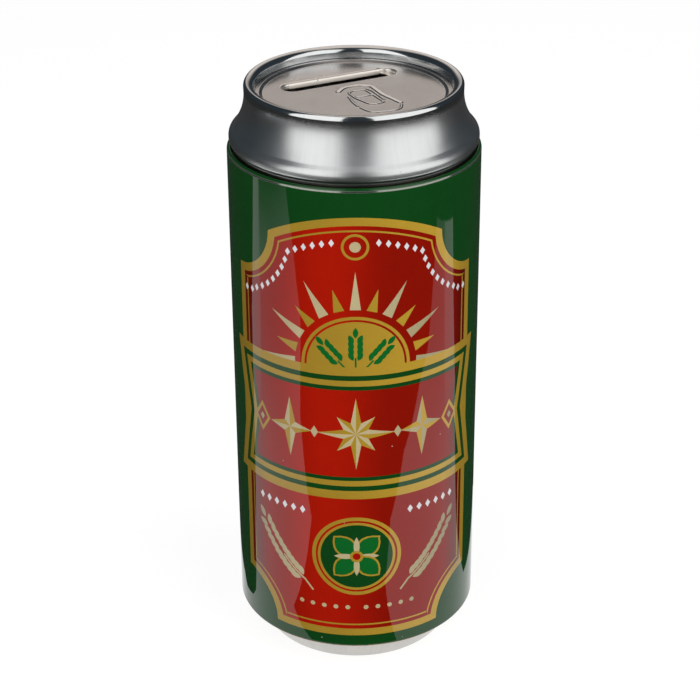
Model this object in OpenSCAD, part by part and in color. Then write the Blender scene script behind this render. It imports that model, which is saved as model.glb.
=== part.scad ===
// Can-shaped coin bank pressed from tinplate, in millimetres.
// It stands on its base ring at z = 0, with the can's axis on the z axis. The front of the printed
// sleeve faces -y and its lock seam is at the back. Each profile follows the side of the sheet that
// is seen, and the sheet's thickness lies behind it.

/* [Sheet] */
// Thickness of the tinplate
sheet = 0.3; // [0.24:0.02:0.36]
// Gap between sheets that are seated on each other
seat_gap = 0.08; // [0.05:0.01:0.12]

/* [Printed sleeve] */
// Outer diameter of the sleeve
can_d = 69; // [66:0.5:76]
// Height of the sleeve's lower edge above the table
sleeve_bottom = 8.9; // [8:0.1:11]
// Height of the sleeve's upper edge above the table
sleeve_top = 150.3; // [120:0.1:170]
// Outer diameter of the curl rolled inwards at the upper edge
curl_d = 1.2; // [1:0.05:1.4]
// Radius of the turned-in lower edge
turn_r = 1; // [0.8:0.05:2.4]
// Straight part of the turned-in lower edge
turn_flat = 0.15; // [0.1:0.05:0.5]
// Width of the lengthwise lock seam
seam_w = 3.2; // [2.4:0.1:4.5]
// Width of the groove that the lock seam leaves outside
groove_w = 0.35; // [0.2:0.05:0.5]
// Depth of that groove
groove_depth = 0.12; // [0.06:0.02:0.16]

/* [Base cup] */
// Diameter of the middle of the flat ring that the bank stands on
stand_d = 50.4; // [46:0.2:53]
// Width of that flat ring
stand_land = 0.8; // [0.6:0.1:1.6]
// Radius of the stand bead
stand_bend = 1.6; // [1:0.1:2]
// Height of the bead's inner wall, where the dome begins
dome_foot = 2.2; // [1.8:0.1:3]
// Height of the middle of the dome
dome_h = 8; // [6:0.1:8.6]
// Height of the cup's wall inside the sleeve
cup_wall = 5; // [3:0.1:8]

/* [Lid shoulder] */
// Depth of the plug skirt below the sleeve's upper edge
skirt_depth = 8; // [6:0.1:14]
// Clearance round the plug skirt
slip_gap = 0.3; // [0.25:0.01:0.35]
// Height of the open gap between the sleeve's upper edge and the lid's bead
under_gap = 0.9; // [0.6:0.05:1.5]
// How far the lid's bead stays inside the sleeve's outer surface
bead_inset = 0.6; // [0.3:0.05:0.9]
// Height of the widest part of the bead above the sleeve's upper edge
bead_h = 2.6; // [2.4:0.05:3.2]
// Radius of the bead's upper side
bead_r = 2.5; // [2:0.05:3]
// Radius of the bead's lower side
bead_under_r = 0.9; // [0.6:0.05:1]
// Height of the rim above the sleeve's upper edge
lid_h = 17.7; // [15:0.1:22]
// Outer diameter of the rim
rim_d = 59; // [56:0.2:62]
// Height of the straight part at the top of the neck, with the rim's fold
neck_straight = 2.5; // [1.6:0.1:4]
// Outer radius of the rim's fold
fold_r = 0.95; // [0.85:0.05:1.2]
// Height of the folded-in lip below the top of the rim
lip_h = 1.8; // [1.4:0.05:2.4]
// Lean of the folded-in lip and of the wall under it, in degrees
lip_lean = 28; // [20:1:32]

/* [Lid panel] */
// Depth of the outer ring of the panel below the top of the rim
panel_depth = 3.1; // [2.8:0.1:4]
// Step from the outer ring down to the middle of the panel
panel_step = 0.6; // [0.4:0.05:0.9]
// Width of the outer ring, from the wall to the middle of the step
ring_w = 2.5; // [2:0.1:4]
// Bend radius at the foot of the panel's wall
panel_bend = 0.45; // [0.35:0.05:0.6]
// Height of the panel's wall, which is held inside the rim's fold
panel_wall = 2.3; // [2:0.05:2.5]

/* [Coin slot] */
// Clear width of the slot
slot_w = 5.8; // [5:0.1:6.5]
// Length of the slot over its bent edges
slot_len = 35.2; // [32:0.1:38]
// Radius of the bent edges
slot_bend = 0.8; // [0.6:0.05:1]
// Depth of the long lips below the panel
lip_depth = 2; // [1.6:0.1:3]
// Depth of the ledges in the round ends
ledge_depth = 1.1; // [1.05:0.05:1.5]
// Width of the narrow ledge, in the left end
ledge_left = 0.4; // [0.2:0.1:1.2]
// Width of the wide ledge, in the right end
ledge_right = 2.2; // [1.4:0.1:2.6]
// Width of the relief nicks where the long lips stop at the right end
nick_w = 1; // [0.5:0.1:2]
// Turn of the slot from the front of the print, in degrees
slot_turn = 26; // [0:1:45]
// Least width of the panel between the slot and the step
slot_margin = 1.65; // [1:0.05:2.5]
// Shift of the slot along its length
slot_shift = 1.1; // [0:0.1:2]

/* [Embossed ring pull] */
// Height of the ridges above the panel
ridge_h = 0.26; // [0.2:0.02:0.4]
// Width of the broad ridge
broad_ridge = 1.3; // [1:0.1:1.6]
// Width of the fine ridges
fine_ridge = 0.6; // [0.5:0.05:0.8]
// Width of the panel between the slot and the ring pull
pull_gap = 1.8; // [1:0.1:3]
// Shift of the ring pull along the slot's direction
pull_shift = 2; // [0:0.1:3]

/* [Hidden] */
$fn = 96;

can_r = can_d / 2;
wall_r = can_r - sheet;
curl_r = curl_d / 2;
curl_inner_r = can_r - curl_d;
mouth_r = can_r - turn_r - turn_flat;
layers_in_seam = 3;
seam_inner_r = wall_r - layers_in_seam * sheet;
seam_end_gap = 0.5;

skirt_r = curl_inner_r - slip_gap;
skirt_bend = 0.5;
bead_max_r = can_r - bead_inset;
bead_z = sleeve_top + bead_h;
crease_angle = 66;
crease = [bead_max_r - bead_r + bead_r * cos(crease_angle), bead_z + bead_r * sin(crease_angle)];
top = sleeve_top + lid_h;
rim_r = rim_d / 2;
neck_z = top - neck_straight;
neck_run = crease[0] - rim_r;
neck_drop = neck_z - crease[1];
neck_arc = (neck_run * neck_run + neck_drop * neck_drop) / (2 * neck_run);
fold = [rim_r - fold_r, top - fold_r];
lip_start = [fold[0] - fold_r * cos(lip_lean), fold[1] + fold_r * sin(lip_lean)];
lip_end_z = top - lip_h;

ring_z = top - panel_depth;
panel_z = ring_z - panel_step;
step_run = 0.5;
step_bend = 0.35;
lip_r_at_ring = lip_start[0] - (lip_start[1] - ring_z) * tan(lip_lean);
panel_wall_r = lip_r_at_ring + (sheet + seat_gap) / cos(lip_lean);
panel_r = panel_wall_r - ring_w;

slot_half = slot_w / 2;
cut_half = slot_half + slot_bend;
end_reach = slot_len / 2 - cut_half;
slot_end_r = panel_r - step_run / 2 - slot_margin - cut_half;
slot_offset = sqrt(pow(slot_end_r, 2) - pow(end_reach + slot_shift, 2));
ledge_bend = 0.2;
edge_lap = 0.5;

// Width of a ridge's crest and of the hollow under it, and setback of the crest's ends,
// as shares of the ridge's width
crest_share = 0.6;
hollow_share = 0.5;
crest_setback = 0.2;

stand_r = stand_d / 2;
cup_turn_r = turn_r - sheet - seat_gap;
cup_wall_r = wall_r - seat_gap;
cup_shoulder_z = sleeve_bottom + sheet + seat_gap;
cup_shoulder_bend = 0.3;
shoulder_r = mouth_r - 2 * seat_gap;
cone_run = shoulder_r - stand_r - stand_land / 2;
cone_angle = atan2(cup_shoulder_z, cone_run);
cone_foot = stand_r + stand_land / 2 + stand_bend * tan(cone_angle / 2);
bead_wall_lean = 70;
bead_wall_bend = 1.2;
bead_wall_foot = stand_r - stand_land / 2 - bead_wall_bend * tan(bead_wall_lean / 2);
dome_foot_r = bead_wall_foot - dome_foot / tan(bead_wall_lean);
dome_foot_bend = 0.8;
dome_flat = 1;
dome_run = dome_foot_r - dome_flat;
dome_rise = dome_h - dome_foot;
dome_r = (dome_run * dome_run + dome_rise * dome_rise) / (2 * dome_rise);

// Largest error of an arc's chords, and largest step of an arc in degrees
curve_error = 0.008;
largest_step = 15;

function arc_steps(r, sweep) =
    max(2, ceil(abs(sweep) / min(largest_step, 2 * acos(1 - min(1, curve_error / r)))));

// Points of an arc from angle a0 to a1, as path points without a bend of their own
function arc(centre, r, a0, a1) =
    let (n = arc_steps(r, a1 - a0))
    [for (i = [0:n]) let (a = a0 + (a1 - a0) * i / n)
        [centre[0] + r * cos(a), centre[1] + r * sin(a), 0]];

// The same arc without its first point, where a path already ends there
function arc_on(centre, r, a0, a1) =
    let (points = arc(centre, r, a0, a1)) [for (i = [1:len(points) - 1]) points[i]];

function flat_unit(v) = [v[0], v[1]] / norm([v[0], v[1]]);

// Arc of radius b[2] that rounds corner b between points a and c
function bend(a, b, c) =
    let (to_a = flat_unit(a - b), to_c = flat_unit(c - b),
         half = acos(to_a * to_c) / 2,
         centre = [b[0], b[1]] + flat_unit(to_a + to_c) * b[2] / sin(half),
         from = [b[0], b[1]] + to_a * b[2] / tan(half) - centre,
         till = [b[0], b[1]] + to_c * b[2] / tan(half) - centre,
         start = atan2(from[1], from[0]),
         raw = atan2(till[1], till[0]) - start,
         sweep = raw > 180 ? raw - 360 : raw < -180 ? raw + 360 : raw)
    [for (p = arc(centre, b[2], start, start + sweep)) [p[0], p[1]]];

// Path through points [x, y, bend radius], with each corner rounded by its bend
function bent(points) =
    [for (i = [0:len(points) - 1])
        each (points[i][2] > 0 ? bend(points[i - 1], points[i], points[i + 1])
                               : [[points[i][0], points[i][1]]])];

// The path moved by d to the right of its direction, with mitred corners
function beside(path, d) =
    [for (i = [0:len(path) - 1])
        let (before = flat_unit(path[max(i, 1)] - path[max(i, 1) - 1]),
             after = flat_unit(path[min(i + 1, len(path) - 1)] - path[min(i + 1, len(path) - 1) - 1]),
             mitre = (before + after) / (1 + before * after))
        path[i] + d * [mitre[1], -mitre[0]]];

function turned_back(path) = [for (i = [len(path) - 1:-1:0]) path[i]];

// Section of sheet metal whose seen side follows the path, with the metal on the path's right
function section(points) =
    let (path = bent(points)) concat(path, turned_back(beside(path, sheet)));

// Path points with both ends drawn back by d
function drawn_back(points, d) =
    let (last = len(points) - 1,
         from = flat_unit(points[1] - points[0]) * d,
         till = flat_unit(points[last - 1] - points[last]) * d)
    [for (i = [0:last])
        i == 0 ? points[0] + [from[0], from[1], 0]
               : i == last ? points[last] + [till[0], till[1], 0] : points[i]];

// Outline of a ridge of width w along a path
function ribbon(points, w) =
    let (path = bent(points)) concat(beside(path, w / 2), turned_back(beside(path, -w / 2)));

// Slot outline with round ends: half its width, and the reach of the end centres on each side
module round_slot(half, left, right) {
    translate([left, -half]) square([right - left, 2 * half]);
    translate([left, 0]) circle(half);
    translate([right, 0]) circle(half);
}

// Sleeve: tube with an inward curl at the top and a turned-in lower edge
sleeve_path = concat(
    arc([can_r - curl_r, sleeve_top - curl_r], curl_r, 270, 0),
    arc([can_r - turn_r, sleeve_bottom + turn_r], turn_r, 0, -90),
    [[mouth_r, sleeve_bottom, 0]]);

module printed_sleeve() {
    seam_bottom = cup_shoulder_z + turn_r + cup_wall + seam_end_gap;
    seam_top = sleeve_top - curl_d - seam_end_gap;
    groove_bottom = sleeve_bottom + turn_r + seam_end_gap;
    color("darkgreen") difference() {
        union() {
            rotate_extrude() polygon(section(sleeve_path));
            translate([-seam_w / 2, seam_inner_r, seam_bottom])
                cube([seam_w, wall_r + sheet / 2 - seam_inner_r, seam_top - seam_bottom]);
        }
        translate([seam_w / 2 - groove_w, can_r - groove_depth, groove_bottom])
            cube([groove_w, 1, seam_top - groove_bottom]);
    }
}

// Base: drawn cup that sits on the sleeve's turned-in edge, with a stand bead and a domed floor
cup_path = concat(
    [[cup_wall_r, cup_shoulder_z + cup_turn_r + cup_wall, 0]],
    arc([can_r - turn_r, cup_shoulder_z + cup_turn_r], cup_turn_r, 0, -90),
    [[shoulder_r, cup_shoulder_z, cup_shoulder_bend],
     [cone_foot, 0, stand_bend],
     [bead_wall_foot, 0, bead_wall_bend],
     [dome_foot_r, dome_foot, dome_foot_bend]],
    arc_on([dome_flat, dome_h - dome_r], dome_r, 90 - asin(dome_run / dome_r), 90),
    [[0, dome_h, 0]]);

module base_cup() {
    color("gainsboro") rotate_extrude() polygon(section(cup_path));
}

// Shoulder: rim folded in over the panel's wall, flared neck, crease, bead and plug skirt
shoulder_path = concat(
    [[lip_start[0] - (lip_start[1] - lip_end_z) * tan(lip_lean), lip_end_z, 0]],
    arc(fold, fold_r, 180 - lip_lean, 90),
    arc_on(fold, fold_r, 90, 0),
    arc([rim_r + neck_arc, neck_z], neck_arc, 180, 180 + asin(neck_drop / neck_arc)),
    arc([bead_max_r - bead_r, bead_z], bead_r, crease_angle - 2, 0),
    [[bead_max_r, sleeve_top + under_gap + bead_max_r - skirt_r, bead_under_r],
     [skirt_r, sleeve_top + under_gap, skirt_bend],
     [skirt_r, sleeve_top - skirt_depth, 0]]);

module lid_shoulder() {
    color("lightslategray") rotate_extrude() polygon(section(shoulder_path));
}

// Panel: stepped disc whose leaning wall goes up inside the rim's fold
panel_path = [
    [0, panel_z, 0],
    [panel_r - step_run / 2, panel_z, step_bend],
    [panel_r + step_run / 2, ring_z, step_bend],
    [panel_wall_r, ring_z, panel_bend],
    [panel_wall_r + panel_wall * tan(lip_lean), ring_z + panel_wall, 0]];

// Bent edge of the slot, from the foot of its lip to the panel
slot_lip_path = [
    [slot_half, -lip_depth, 0],
    [slot_half, 0, slot_bend],
    [cut_half + edge_lap, 0, 0]];

// Round end of the slot, from the middle of its ledge to the panel
slot_end_path = [
    [0, -ledge_depth, 0],
    [slot_half, -ledge_depth, ledge_bend],
    [slot_half, 0, slot_bend],
    [cut_half + edge_lap, 0, 0]];

module long_lip() {
    translate([-end_reach, 0, 0]) rotate([90, 0, 90])
        linear_extrude(2 * end_reach - nick_w) polygon(section(slot_lip_path));
}

module slot_edges() {
    long_lip();
    mirror([0, 1, 0]) long_lip();
    difference() {
        union() {
            translate([end_reach, 0, 0]) rotate([0, 0, -90])
                rotate_extrude(angle = 180) polygon(section(slot_end_path));
            translate([-end_reach, 0, 0]) rotate([0, 0, 90])
                rotate_extrude(angle = 180) polygon(section(slot_end_path));
        }
        translate([0, 0, -ledge_depth - 1]) linear_extrude(ledge_depth + 1)
            round_slot(slot_half, ledge_left - end_reach, end_reach - ledge_right);
    }
}

// Ring pull in its own plane, x along the slot and y towards it
pull_broad = [[-5.1, 8.6, 0], [0.6, 11.6, 3.5], [4.9, 8.6, 2], [4.8, 0.4, 12], [5.7, -6.2, 0]];
pull_fine = [
    [[-5.1, 3, 0], [-5.9, -4.3, 0]],
    [[-5.4, -7, 0], [-4.6, -10, 2.5], [4.6, -10.2, 3], [5.5, -7.6, 0]],
    [[-3.5, 2.6, 0], [-3.6, 7.8, 2], [1.7, 6.4, 2], [1.8, -4, 1.2], [-3.5, -4.4, 1.8], [-3.5, 1.9, 0]],
    [[-2.8, 3, 0], [1.2, 2.4, 0]]];

pull_top = pull_broad[1][1];

module on_pull() {
    translate([pull_shift, slot_offset - cut_half - pull_gap - pull_top]) children();
}

// A ridge is stepped towards its crest. It is rooted in the sheet, which is hollow under it.
module ridge(points, w) {
    root = sheet / 2;
    translate([0, 0, -root]) {
        linear_extrude(root + ridge_h / 2) polygon(ribbon(points, w));
        linear_extrude(root + ridge_h)
            polygon(ribbon(drawn_back(points, w * crest_setback), w * crest_share));
    }
}

module all_ridges() {
    ridge(pull_broad, broad_ridge);
    for (line = pull_fine) ridge(line, fine_ridge);
}

module all_hollows() {
    linear_extrude(ridge_h) polygon(ribbon(pull_broad, broad_ridge * hollow_share));
    for (line = pull_fine)
        linear_extrude(ridge_h) polygon(ribbon(line, fine_ridge * hollow_share));
}

module lid_panel() {
    color("rosybrown") rotate([0, 0, slot_turn]) {
        difference() {
            union() {
                rotate_extrude() polygon(section(panel_path));
                translate([0, 0, panel_z]) on_pull() all_ridges();
            }
            translate([slot_shift, slot_offset, panel_z - 1]) linear_extrude(2)
                round_slot(cut_half, -end_reach, end_reach);
            translate([0, 0, panel_z - sheet - ridge_h / 2]) on_pull() all_hollows();
        }
        translate([slot_shift, slot_offset, panel_z]) slot_edges();
    }
}

printed_sleeve();
base_cup();
lid_shoulder();
lid_panel();
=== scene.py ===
import math

import bmesh
import bpy
import numpy as np
from mathutils import Matrix, Vector, geometry, noise


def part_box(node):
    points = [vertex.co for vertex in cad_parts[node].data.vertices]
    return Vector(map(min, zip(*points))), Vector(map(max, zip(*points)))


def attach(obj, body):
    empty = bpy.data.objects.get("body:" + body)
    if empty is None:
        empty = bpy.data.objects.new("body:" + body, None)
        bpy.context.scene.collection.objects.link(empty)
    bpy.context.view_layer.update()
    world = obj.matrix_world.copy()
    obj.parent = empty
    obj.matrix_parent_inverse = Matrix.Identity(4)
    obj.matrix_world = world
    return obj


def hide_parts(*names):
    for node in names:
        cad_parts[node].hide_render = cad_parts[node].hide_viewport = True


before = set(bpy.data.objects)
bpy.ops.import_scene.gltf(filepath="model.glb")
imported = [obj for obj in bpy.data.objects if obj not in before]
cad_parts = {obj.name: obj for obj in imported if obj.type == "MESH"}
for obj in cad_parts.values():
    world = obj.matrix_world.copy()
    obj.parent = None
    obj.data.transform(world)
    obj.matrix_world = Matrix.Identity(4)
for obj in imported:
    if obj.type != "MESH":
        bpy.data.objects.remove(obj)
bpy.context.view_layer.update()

# Base cup
# A shallow cup drawn from plain tinplate, with a stand bead round a domed floor. Its wall sits
# inside the printed sleeve, on the sleeve's turned-in edge, and is held there by friction.
MM = 0.001
sheet = 0.3
seat_gap = 0.08
steps_round = 288
shortest_edge = 0.002
weld = 1e-6
sliver = 1e-7
can_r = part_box("printed_sleeve")[1].x / MM
sleeve_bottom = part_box("printed_sleeve")[0].z / MM
turn_r = 1
turn_flat = 0.15
mouth_r = can_r - turn_r - turn_flat
stand_r = 25.2
stand_land = 0.8
stand_bend = 1.6
bead_wall_lean = 70
bead_wall_bend = 1.2
dome_h = 8
dome_foot = 2.2
dome_foot_bend = 0.8
dome_flat = 1
cup_wall = 5
cup_bend = 0.3
cup_turn_r = turn_r - sheet - seat_gap
cup_shoulder_z = sleeve_bottom + sheet + seat_gap
shoulder_r = mouth_r - 2 * seat_gap
cone_angle = math.atan2(cup_shoulder_z, shoulder_r - stand_r - stand_land / 2)
cone_foot = stand_r + stand_land / 2 + stand_bend * math.tan(cone_angle / 2)
bead_wall_foot = (stand_r - stand_land / 2
                  - bead_wall_bend * math.tan(math.radians(bead_wall_lean / 2)))
dome_foot_r = bead_wall_foot - dome_foot / math.tan(math.radians(bead_wall_lean))
dome_run, dome_rise = dome_foot_r - dome_flat, dome_h - dome_foot
dome_r = (dome_run ** 2 + dome_rise ** 2) / (2 * dome_rise)
dome_start = 90 - math.degrees(math.asin(dome_run / dome_r))


def on_circle(centre, radius, angle, along=0):
    """Point on a circle at an angle in degrees, moved along the tangent there."""
    cosine, sine = math.cos(math.radians(angle)), math.sin(math.radians(angle))
    return (centre[0] + radius * cosine - along * sine, centre[1] + radius * sine + along * cosine)


def arc(centre, radius, start, end, step=6.0):
    """Points of an arc between two angles in degrees, as path corners without a bend."""
    count = max(2, math.ceil(abs(end - start) / step))
    return [(*on_circle(centre, radius, start + (end - start) * i / count), 0)
            for i in range(count + 1)]


def rounded(before, corner, after):
    """The arc that bends a path at a corner (r, z, bend radius)."""
    here = Vector(corner[:2])
    back, on = (Vector(before[:2]) - here).normalized(), (Vector(after[:2]) - here).normalized()
    half = back.angle(on) / 2
    centre = here + (back + on).normalized() * corner[2] / math.sin(half)
    first = here + back * corner[2] / math.tan(half) - centre
    last = here + on * corner[2] / math.tan(half) - centre
    start = math.degrees(math.atan2(first.y, first.x))
    sweep = (math.degrees(math.atan2(last.y, last.x)) - start + 180) % 360 - 180
    return arc(centre, corner[2], start, start + sweep)


def bent(corners):
    """A path with every corner that has a bend radius rounded by it."""
    path = []
    for i, corner in enumerate(corners):
        path += rounded(corners[i - 1], corner, corners[i + 1]) if corner[2] else [corner]
    path = [Vector(p[:2]) for p in path]
    return [p for i, p in enumerate(path) if i == 0 or (p - path[i - 1]).length > shortest_edge]


def beside(path, distance):
    """The path moved to the right of its direction."""
    moved = []
    for i, p in enumerate(path):
        before = (path[max(i, 1)] - path[max(i, 1) - 1]).normalized()
        last = min(i + 1, len(path) - 1)
        after = (path[last] - path[last - 1]).normalized()
        mitre = (before + after) / (1 + before.dot(after))
        moved.append(p + distance * Vector((mitre.y, -mitre.x)))
    return moved


def sheet_section(corners):
    """Closed section of sheet metal whose seen side follows the path."""
    path = bent(corners)
    return path + beside(path, sheet)[::-1]


def turned_sheet_tree():
    """Geometry nodes that turn a section, drawn in the xz plane, round the z axis."""
    tree = bpy.data.node_groups.new("Turned sheet metal", "GeometryNodeTree")
    for name, kind in (("Section", "Geometry"), ("Steps round", "Int"), ("Guide radius", "Float"),
                       ("Metal", "Material")):
        tree.interface.new_socket(name, in_out="INPUT", socket_type="NodeSocket" + kind)
    tree.interface.new_socket("Turned", in_out="OUTPUT", socket_type="NodeSocketGeometry")
    new, link = tree.nodes.new, tree.links.new
    given, out = new("NodeGroupInput"), new("NodeGroupOutput")
    inwards = new("ShaderNodeMath")
    inwards.operation = "MULTIPLY"
    inwards.inputs[1].default_value = -1
    shift = new("ShaderNodeCombineXYZ")
    lay_down = new("GeometryNodeTransform")
    lay_down.inputs["Rotation"].default_value = (math.pi / 2, 0, 0)
    profile = new("GeometryNodeMeshToCurve")
    circle = new("GeometryNodeCurvePrimitiveCircle")
    sweep = new("GeometryNodeCurveToMesh")
    close = new("GeometryNodeMergeByDistance")
    close.inputs["Distance"].default_value = weld
    smooth = new("GeometryNodeSetShadeSmooth")
    real = new("GeometryNodeRealizeInstances")
    metal = new("GeometryNodeSetMaterial")
    link(given.outputs["Guide radius"], inwards.inputs[0])
    link(inwards.outputs[0], shift.inputs["X"])
    link(shift.outputs[0], lay_down.inputs["Translation"])
    link(given.outputs["Section"], lay_down.inputs["Geometry"])
    link(given.outputs["Guide radius"], circle.inputs["Radius"])
    link(given.outputs["Steps round"], circle.inputs["Resolution"])
    link(profile.outputs[0], sweep.inputs["Profile Curve"])
    link(given.outputs["Metal"], metal.inputs["Material"])
    for before, after in ((lay_down, profile), (circle, sweep), (sweep, close), (close, smooth),
                          (smooth, real), (real, metal), (metal, out)):
        link(before.outputs[0], after.inputs[0])
    return tree


def in_scene(name, data):
    """A new object of the scene, at the origin."""
    made = bpy.data.objects.new(name, data)
    bpy.context.scene.collection.objects.link(made)
    return made


def finished(name, mesh, body, node):
    """Makes a mesh a piece that rides on its body and stands for its CAD node."""
    mesh.name = name
    piece = in_scene(name, mesh)
    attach(piece, body)
    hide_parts(node)


def creased(mesh, sharp_angle=40):
    """Shades a piece smoothly, with its cut edges sharp."""
    mesh.shade_smooth()
    mesh.set_sharp_from_angle(angle=math.radians(sharp_angle))
    return mesh


def pressed_metal(mesh, sharp_angle=40):
    """Closes a pressed piece's poles and seams, points its faces outwards and creases it."""
    work = bmesh.new()
    work.from_mesh(mesh)
    bmesh.ops.remove_doubles(work, verts=work.verts, dist=weld)
    bmesh.ops.dissolve_degenerate(work, edges=work.edges, dist=sliver)
    bmesh.ops.delete(work, geom=[e for e in work.edges if not e.link_faces], context="EDGES")
    bmesh.ops.recalc_face_normals(work, faces=work.faces)
    work.to_mesh(mesh)
    work.free()
    return creased(mesh, sharp_angle)


turned_sheet = turned_sheet_tree()


def turned(section, metal, closed=True):
    """The mesh of a section in millimetres, turned round the can's axis by the nodes above."""
    drawn = bpy.data.meshes.new("section")
    count = len(section)
    edges = [(i, (i + 1) % count) for i in range(count if closed else count - 1)]
    drawn.from_pydata([(p.x * MM, 0, p.y * MM) for p in section], edges, [])
    drawn.materials.append(metal)
    holder = in_scene("section", drawn)
    turning = holder.modifiers.new("turning", "NODES")
    turning.node_group = turned_sheet
    values = {"Steps round": steps_round, "Guide radius": can_r * MM, "Metal": metal}
    for socket in turned_sheet.interface.items_tree:
        if socket.name in values:
            turning[socket.identifier] = values[socket.name]
    result = bpy.data.meshes.new_from_object(
        holder.evaluated_get(bpy.context.evaluated_depsgraph_get()))
    bpy.data.objects.remove(holder)
    return result


cup_path = [
    (can_r - sheet - seat_gap, cup_shoulder_z + cup_turn_r + cup_wall, 0),
    *arc((can_r - turn_r, cup_shoulder_z + cup_turn_r), cup_turn_r, 0, -90),
    (shoulder_r, cup_shoulder_z, cup_bend),
    (cone_foot, 0, stand_bend),
    (bead_wall_foot, 0, bead_wall_bend),
    (dome_foot_r, dome_foot, dome_foot_bend),
    *arc((dome_flat, dome_h - dome_r), dome_r, dome_start, 90, step=1.5)[1:],
    (0, dome_h, 0)]


def feed(tree, node, values):
    """Gives a node's inputs their values, or links them to the sockets of other nodes."""
    for name, value in values.items():
        if isinstance(value, bpy.types.NodeSocket):
            tree.links.new(value, node.inputs[name])
        else:
            node.inputs[name].default_value = value


def add(tree, kind, values=None, **settings):
    """A new shader node with its settings and inputs."""
    made = tree.nodes.new("ShaderNode" + kind)
    for name, value in settings.items():
        setattr(made, name, value)
    feed(tree, made, values or {})
    return made


def group_tree(name, vectors, values, results):
    """An empty node group with named inputs and outputs, and the sockets at its two ends."""
    tree = bpy.data.node_groups.new(name, "ShaderNodeTree")
    for sockets, way, kind in ((vectors, "INPUT", "Vector"), (values, "INPUT", "Float"),
                               (results, "OUTPUT", "Float")):
        for socket in sockets:
            tree.interface.new_socket(socket, in_out=way, socket_type="NodeSocket" + kind)
    return tree, tree.nodes.new("NodeGroupInput").outputs, tree.nodes.new("NodeGroupOutput")


def maths(tree, operation, first, second=0.0, third=0.0):
    """Result of a Math node."""
    return add(tree, "Math", {0: first, 1: second, 2: third}, operation=operation).outputs[0]


def times(tree, first, second):
    """Product of two values."""
    return maths(tree, "MULTIPLY", first, second)


def scaled(tree, vector, factors):
    """A vector or colour multiplied part by part."""
    return add(tree, "VectorMath", {0: vector, 1: factors}, operation="MULTIPLY").outputs[0]


def spread(tree, value, low, high, to_low=0.0, to_high=1.0):
    """The value moved smoothly from one range to another."""
    return add(tree, "MapRange", {"Value": value, "From Min": low, "From Max": high,
                                  "To Min": to_low, "To Max": to_high},
               interpolation_type="SMOOTHSTEP").outputs["Result"]


def blend(tree, amount, first, second):
    """The first colour turned into the second by an amount."""
    return add(tree, "Mix", {"Factor": amount, "A": first, "B": second},
               data_type="RGBA").outputs["Result"]


def clouds(tree, place, scale, detail=2.0, roughness=0.5):
    """Value of a noise texture, round 0.5."""
    return add(tree, "TexNoise", {"Vector": place, "Scale": scale, "Detail": detail,
                                  "Roughness": roughness}).outputs[0]


def place_in_mm(tree):
    """Place on the can in millimetres."""
    return scaled(tree, add(tree, "TexCoord").outputs["Object"], (1 / MM,) * 3)


def tin_marks_tree():
    """Marks on tinplate: lines of the drawing or rolling, faint stains, and dark specks."""
    speck_scale, speck_few, speck_all, speck_dark = 0.42, 0.72, 0.95, 0.7
    coarse_share = 0.25
    tree, given, out = group_tree(
        "Tin marks", ("Place", "Lines place"),
        ("Stain depth", "Line depth", "Speck size", "Roughness", "Roughness spread"),
        ("Shade", "Roughness", "Height"))
    stain = clouds(tree, given["Place"], 0.11, detail=3, roughness=0.55)
    coarse = clouds(tree, given["Place"], 4.5, detail=2, roughness=0.6)
    lines = clouds(tree, given["Lines place"], 1, detail=4, roughness=0.65)
    cells = add(tree, "TexVoronoi", {"Vector": given["Place"], "Scale": speck_scale})
    chosen = add(tree, "SeparateColor", {"Color": cells.outputs["Color"]})
    size = times(tree, given["Speck size"], spread(tree, chosen.outputs[0], speck_few, speck_all))
    speck = maths(tree, "LESS_THAN", cells.outputs["Distance"], size)
    stained = times(tree, maths(tree, "SUBTRACT", stain, 0.5), given["Stain depth"])
    lined = times(tree, maths(tree, "SUBTRACT", lines, 0.5), given["Line depth"])
    shade = maths(tree, "ADD", maths(tree, "ADD", stained, lined), 1.0)
    feed(tree, out, {
        "Shade": times(tree, shade, maths(tree, "MULTIPLY_ADD", speck, -speck_dark, 1.0)),
        "Roughness": maths(tree, "MULTIPLY_ADD", maths(tree, "SUBTRACT", stain, lines),
                           given["Roughness spread"], given["Roughness"]),
        "Height": maths(tree, "ADD", lined, times(tree, coarse, coarse_share))})
    return tree


tin_marks = tin_marks_tree()


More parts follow.
